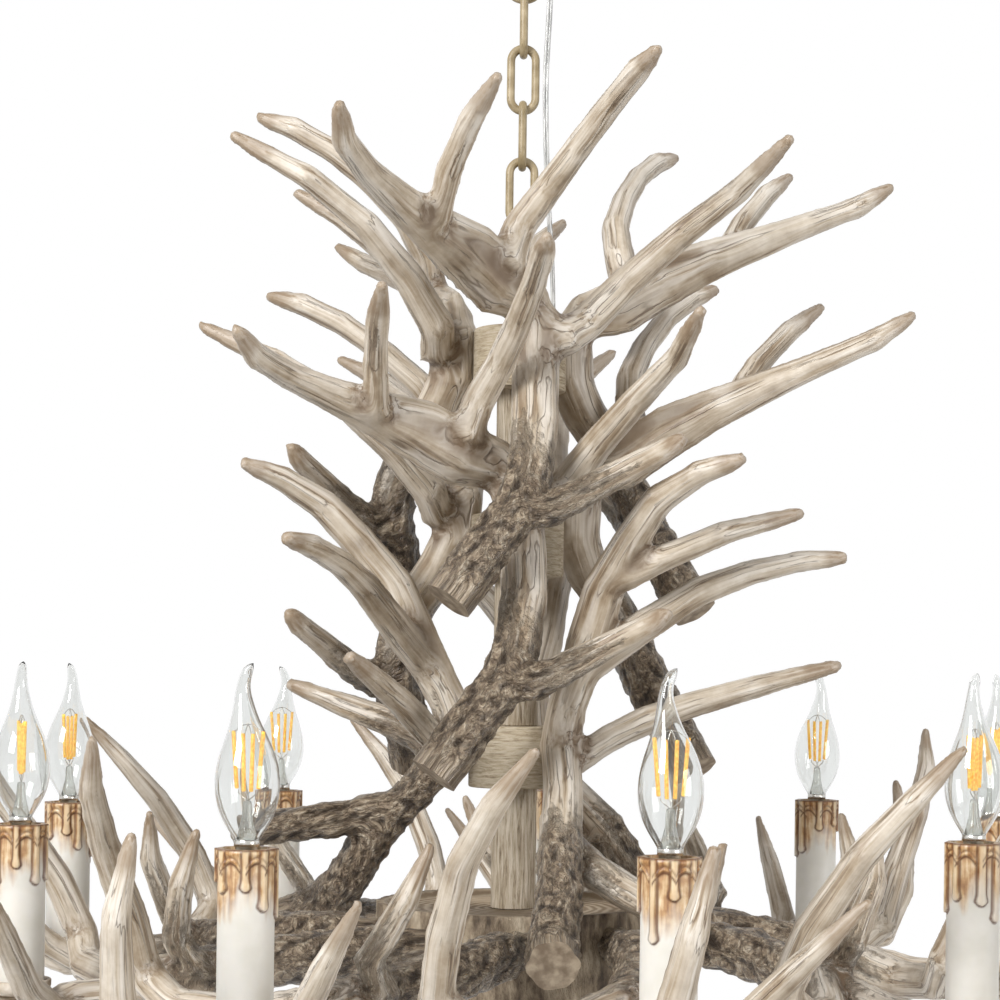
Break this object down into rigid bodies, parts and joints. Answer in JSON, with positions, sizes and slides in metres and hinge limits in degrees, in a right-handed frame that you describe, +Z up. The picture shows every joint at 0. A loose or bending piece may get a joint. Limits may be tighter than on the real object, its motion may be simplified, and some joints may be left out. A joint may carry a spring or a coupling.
{
  "type": "antler chandelier",
  "caption": "Tall chandelier of stacked cast antlers on a turned column, hung on a chain, with a ring of antler arms that each carry a dripped candle light.",
  "frame": {"origin": "centre of the ceiling canopy on the ceiling's face", "axes": "+Z up, out of the ceiling plate; -Y is the front, towards the picture's camera; +X is the picture's right"},
  "size_m": [0.8362, 0.8434, 0.7557],
  "materials": {
    "antler_resin": "satin, hand washed with a brown glaze",
    "hub_resin": "matte bark, smooth top",
    "column_resin": "matte, wood grained",
    "painted_steel": "satin, antique beige",
    "bracket_steel": "zinc plated",
    "clear_cord": "clear, over silver strands",
    "holder_plastic": "satin",
    "dripped_sleeve": "satin ivory with amber drips",
    "bulb_glass": "clear"
  },
  "bodies": {
    "ceiling": {"ceiling_bracket": "bracket_steel", "canopy": "painted_steel", "canopy_loop": "painted_steel", "supply_cord": "clear_cord"},
    "link_a": {"chain_link_a": "painted_steel"},
    "link_b": {"chain_link_b": "painted_steel"},
    "link_c": {"chain_link_c": "painted_steel"},
    "link_d": {"chain_link_d": "painted_steel"},
    "link_e": {"chain_link_e": "painted_steel"},
    "chandelier": {"arm_antler_1": "antler_resin", "arm_antler_2": "antler_resin", "arm_antler_3": "antler_resin", "arm_antler_4": "antler_resin", "arm_antler_5": "antler_resin", "arm_antler_6": "antler_resin", "arm_antler_7": "antler_resin", "arm_antler_8": "antler_resin", "arm_antler_9": "antler_resin", "bulb_1": "bulb_glass", "bulb_2": "bulb_glass", "bulb_3": "bulb_glass", "bulb_4": "bulb_glass", "bulb_5": "bulb_glass", "bulb_6": "bulb_glass", "bulb_7": "bulb_glass", "bulb_8": "bulb_glass", "bulb_9": "bulb_glass", "candle_sleeve_1": "dripped_sleeve", "candle_sleeve_2": "dripped_sleeve", "candle_sleeve_3": "dripped_sleeve", "candle_sleeve_4": "dripped_sleeve", "candle_sleeve_5": "dripped_sleeve", "candle_sleeve_6": "dripped_sleeve", "candle_sleeve_7": "dripped_sleeve", "candle_sleeve_8": "dripped_sleeve", "candle_sleeve_9": "dripped_sleeve", "eye_rod": "painted_steel", "hub": "hub_resin", "lamp_holder_1": "holder_plastic", "lamp_holder_2": "holder_plastic", "lamp_holder_3": "holder_plastic", "lamp_holder_4": "holder_plastic", "lamp_holder_5": "holder_plastic", "lamp_holder_6": "holder_plastic", "lamp_holder_7": "holder_plastic", "lamp_holder_8": "holder_plastic", "lamp_holder_9": "holder_plastic", "lower_antler_front": "antler_resin", "lower_antler_left": "antler_resin", "lower_antler_right": "antler_resin", "lower_collar": "column_resin", "lower_tube": "column_resin", "middle_antler_front": "antler_resin", "middle_antler_left": "antler_resin", "middle_antler_right": "antler_resin", "middle_spindle": "column_resin", "upper_antler_front": "antler_resin", "upper_antler_left": "antler_resin", "upper_antler_right": "antler_resin", "upper_spindle": "column_resin"}
  },
  "joints": [
    {"name": "link_a_swing", "type": "hinge", "parent": "ceiling", "child": "link_a", "pos_m": [0, 0, -0.075], "axis": [1, 0, 0], "range_deg": [-10, 10], "deforming": ["supply_cord"]},
    {"name": "link_b_swing", "type": "hinge", "parent": "link_a", "child": "link_b", "pos_m": [0, 0, -0.1127], "axis": [0, 1, 0], "range_deg": [-10, 10], "deforming": ["supply_cord"]},
    {"name": "link_c_swing", "type": "hinge", "parent": "link_b", "child": "link_c", "pos_m": [0, 0, -0.1504], "axis": [1, 0, 0], "range_deg": [-10, 10], "deforming": ["supply_cord"]},
    {"name": "link_d_swing", "type": "hinge", "parent": "link_c", "child": "link_d", "pos_m": [0, 0, -0.1881], "axis": [0, 1, 0], "range_deg": [-10, 10], "deforming": ["supply_cord"]},
    {"name": "link_e_swing", "type": "hinge", "parent": "link_d", "child": "link_e", "pos_m": [0, 0, -0.2258], "axis": [1, 0, 0], "range_deg": [-10, 10], "deforming": ["supply_cord"]},
    {"name": "chandelier_swing", "type": "hinge", "parent": "link_e", "child": "chandelier", "pos_m": [0, 0, -0.2635], "axis": [0, 1, 0], "range_deg": [-10, 10], "deforming": ["supply_cord"]}
  ]
}
